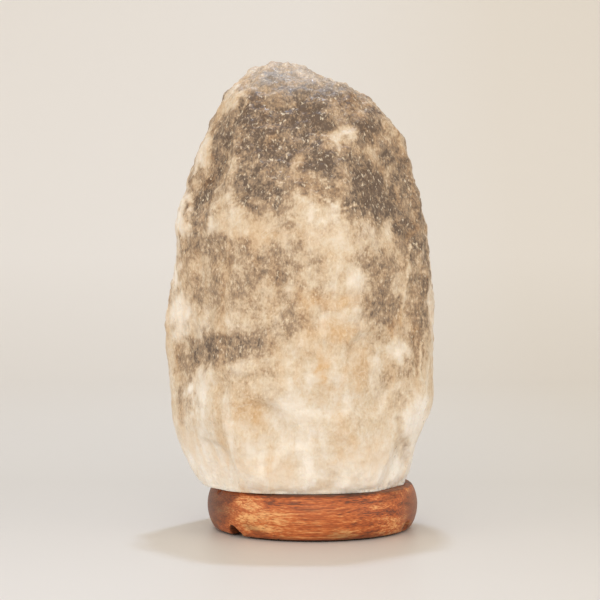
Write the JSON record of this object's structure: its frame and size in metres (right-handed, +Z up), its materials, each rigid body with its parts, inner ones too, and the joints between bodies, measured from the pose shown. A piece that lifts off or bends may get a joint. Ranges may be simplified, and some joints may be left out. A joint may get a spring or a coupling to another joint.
{
  "type": "salt crystal lamp",
  "caption": "Table lamp with a hewn rock salt crystal on a turned wooden base, a screw-in bulb on a spring-clip holder inside it, and a cord channel underneath.",
  "frame": {"origin": "middle of the plane that the felt ring stands on, on the turning axis of the base", "axes": "+Z up along the axis of the base, -Y to the front as pictured, +X to the right"},
  "size_m": [0.1614, 0.1386, 0.2775],
  "materials": {
    "turned_wood": "satin",
    "wool_felt": "matte",
    "rock_salt": "satin",
    "zinc_plated_steel": "satin",
    "nylon": "matte",
    "black_thermoplastic": "satin",
    "white_thermoplastic": "matte",
    "spring_steel": "satin",
    "nickelled_brass": "satin",
    "brass": "satin",
    "bronze_strip": "satin",
    "solder": "satin",
    "black_glass": "gloss",
    "clear_glass": "gloss",
    "tungsten": "satin",
    "copper_clad_wire": "satin"
  },
  "bodies": {
    "lamp_stand": {"wood_base": "turned_wood", "felt_ring": "wool_felt", "salt_crystal": "rock_salt", "crystal_screws": "zinc_plated_steel", "screw_washers": "zinc_plated_steel", "screw_plugs": "nylon"},
    "lampholder": {"holder_cap": "black_thermoplastic", "holder_body": "black_thermoplastic", "spring_clip": "spring_steel", "thread_shell": "nickelled_brass", "centre_contact": "bronze_strip", "terminal_carrier": "white_thermoplastic", "terminal_blocks": "brass", "terminal_screws": "zinc_plated_steel"},
    "bulb_seat": {"bulb_contact": "solder"},
    "bulb": {"bulb_insulator": "black_glass", "bulb_cap": "nickelled_brass", "bulb_glass": "clear_glass", "bulb_stem": "clear_glass", "lead_wires": "copper_clad_wire", "support_wires": "tungsten", "filament": "tungsten"}
  },
  "joints": [
    {"name": "holder_slide", "type": "slide", "parent": "lamp_stand", "child": "lampholder", "axis": [0, 0, -1], "range_m": [0, 0.115]},
    {"name": "bulb_rise", "type": "slide", "parent": "lampholder", "child": "bulb_seat", "axis": [0, 0, 1], "range_m": [0, 0.0085]},
    {"name": "bulb_turn", "type": "hinge", "parent": "bulb_seat", "child": "bulb", "pos_m": [0, 0, 0.031], "axis": [0, 0, 1], "range_deg": [0, 1080]}
  ],
  "couplings": [
    {"joint": "bulb_rise", "follows": "bulb_turn", "m_per_rad": 0.00044914}
  ]
}
